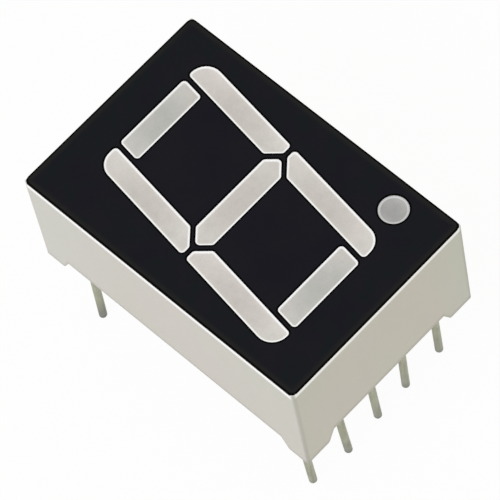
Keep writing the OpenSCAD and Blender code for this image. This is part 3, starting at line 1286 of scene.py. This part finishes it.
@dataclass
class PottedBack:
    """Potting resin behind the board, which climbs up the walls and the pins as it cures."""

    nodes: Nodes
    node: str = "back_resin"
    rings: Triple = (0.05, 0.08, 0.12)
    ring_rises: Triple = (-0.06, -0.035, -0.015)

    def build(self) -> List[Thing]:
        """Makes the resin's slab with its rim and the collars round the pins.

        Returns:
            The slab.
        """
        low_z = Extent.of(self.node).low.z
        bm = merged_copy(self.nodes[self.node])
        skin = [f for f in bm.faces if on_level(f, low_z)]
        bmesh.ops.translate(bm, vec=(0.0, 0.0, sum(self.ring_rises)), verts=points_of(skin))
        stepped_skin(bm, skin, self.rings, self.ring_rises)
        material = CastEpoxy().material()
        return [finished_piece(bm, "back_potting", material, [self.node])]


@dataclass
class InnerWorks:
    """Board, copper, dies, bond wires and solder, which keep the shape of their solids."""

    nodes: Nodes
    copper: BareMetal = BareMetal("copper foil", (0.78, 0.4, 0.26), (0.55, 0.24, 0.14))
    gold: BareMetal = BareMetal("gold bond wire", (0.95, 0.7, 0.3), (0.85, 0.58, 0.22), 0.18, 9.0)
    tin: BareMetal = BareMetal("solder joint", (0.72, 0.72, 0.71), (0.52, 0.52, 0.52), 0.22)

    def build(self) -> List[Thing]:
        """Gives each node inside the body the finish of the part that its name holds.

        Returns:
            The dressed nodes.
        """
        finishes = {
            "board": GlassLaminate().material(),
            "track": self.copper.material(),
            "die": SawnCrystal(Extent.of("die_a").low.z).material(),
            "wire": self.gold.material(),
            "solder": self.tin.material(),
        }
        dressed = []
        for name, node in self.nodes.items():
            for part, finish in finishes.items():
                if part in name:
                    for place in node.material_slots:
                        place.material = finish
                    dressed.append(node)
        return dressed


# ---- Studio ------------------------------------------------------------------


@dataclass(frozen=True)
class SoftLamp:
    """Round area lamp that points at the object."""

    name: str
    place: Triple
    size: float
    power: float
    colour: Colour

    def hang(self) -> None:
        """Puts the lamp in the scene."""
        light = bpy.data.lights.new(self.name, "AREA")
        light.shape = "DISK"
        light.size = self.size * MM
        light.energy = self.power
        light.color = self.colour
        lamp = in_scene(bpy.data.objects.new(self.name, light))
        lamp.location = Vector(self.place) * MM
        lamp.rotation_mode = "QUATERNION"
        lamp.rotation_quaternion = Vector(self.place).to_track_quat("Z", "Y")


@dataclass
class Studio:
    """Pale floor that is clear from beneath, soft light and the camera."""

    floor_z: float
    floor_gap: float = 0.01
    floor_half: float = 600.0
    floor_colour: Colour = (0.82, 0.82, 0.785)
    shown_white: float = 0.95
    world_level: float = 0.72
    world_tint: Colour = (1.0, 0.985, 0.86)
    lamp: SoftLamp = SoftLamp("key", (-240.0, -63.0, 313.0), 220.0, 0.605, (0.96, 1.0, 1.3))
    aim: Triple = (-0.441, -0.462, 4.05)
    distance: float = 233.23
    azimuth: float = 34.797
    elevation: float = 62.249
    roll: float = -13.445
    lens: float = 324.84
    sensor: float = 36.0
    clip: Pair = (10.0, 10000.0)

    def build(self) -> None:
        """Sets the stage."""
        self._floor()
        self._world()
        self.lamp.hang()
        self._camera()

    def _floor(self) -> None:
        """Makes the floor, which looks white with a faint shadow, and is clear from beneath."""
        bm = bmesh.new()
        bmesh.ops.create_grid(bm, x_segments=1, y_segments=1, size=self.floor_half)
        drop = (0.0, 0.0, self.floor_z - self.floor_gap)
        bmesh.ops.translate(bm, vec=drop, verts=bm.verts[:])
        g = new_graph("pale floor")
        paper = g.add("ShaderNodeBsdfDiffuse", inputs={"Color": self.floor_colour})
        glow = g.add("ShaderNodeEmission", inputs={"Color": WHITE, "Strength": 1.0})
        white = g.shown() * self.shown_white
        mixed = g.add("ShaderNodeMixShader", inputs={0: white, 1: paper, 2: glow})
        beneath = g.add("ShaderNodeNewGeometry", output="Backfacing")
        clear = g.add("ShaderNodeBsdfTransparent")
        sheet = g.add("ShaderNodeMixShader", inputs={0: beneath, 1: mixed, 2: clear})
        g.add("ShaderNodeOutputMaterial", inputs={"Surface": sheet})
        floor = solid(bm, "floor", g.owner)
        floor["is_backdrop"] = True

    def _world(self) -> None:
        """Lights the object evenly from all round, and shows as white."""
        world = bpy.data.worlds.new("studio")
        bpy.context.scene.world = world
        g = Graph(world)
        light = [self.world_level * part for part in self.world_tint]
        colour = g.blend(g.shown(), light, WHITE)
        sky = g.add("ShaderNodeBackground", inputs={"Color": colour, "Strength": 1.0})
        g.add("ShaderNodeOutputWorld", inputs={"Surface": sky})

    def _camera(self) -> None:
        """Stands the camera at its viewing angle."""
        turn, rise = math.radians(self.azimuth), math.radians(self.elevation)
        flat = math.cos(rise)
        sight = Vector((math.sin(turn) * flat, math.cos(turn) * flat, -math.sin(rise)))
        data = bpy.data.cameras.new("camera")
        data.sensor_width = self.sensor
        data.lens = self.lens
        data.clip_start, data.clip_end = (reach * MM for reach in self.clip)
        camera = in_scene(bpy.data.objects.new("camera", data))
        camera.location = (Vector(self.aim) - sight * self.distance) * MM
        camera.rotation_mode = "QUATERNION"
        level = sight.to_track_quat("-Z", "Y")
        roll = Quaternion((0.0, 0.0, 1.0), math.radians(self.roll))
        camera.rotation_quaternion = level @ roll
        bpy.context.scene.camera = camera


def main() -> None:
    """Builds the pieces in order and reports each, then the studio."""
    logging.basicConfig(level=logging.INFO, format="%(message)s")
    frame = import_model()
    cad_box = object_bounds()
    nodes = frame["nodes"]
    body = Extent.of("reflector_housing").high
    half = (body.x, body.y)
    point = Extent.of("decimal_point").middle
    plastic = MouldedWhite(half, body.z, (point.x, point.y))
    assemblies = (
        ReflectorHousing(nodes, plastic),
        PrintedFace(nodes, half, plastic.ink_corner),
        ResinWindows(nodes, body.z),
        Pins(nodes, Extent.of("back_resin").low.z),
        PottedBack(nodes),
        InnerWorks(nodes),
    )
    for assembly in assemblies:
        for piece in assembly.build():
            faces = len(piece.data.polygons)
            LOG.info("%s: %d faces, %s", piece.name, faces, piece.active_material.name)
    Studio(cad_box[0].z / MM).build()
    scene = bpy.context.scene
    scene.view_settings.view_transform = "Standard"


if __name__ == "__main__":
    main()
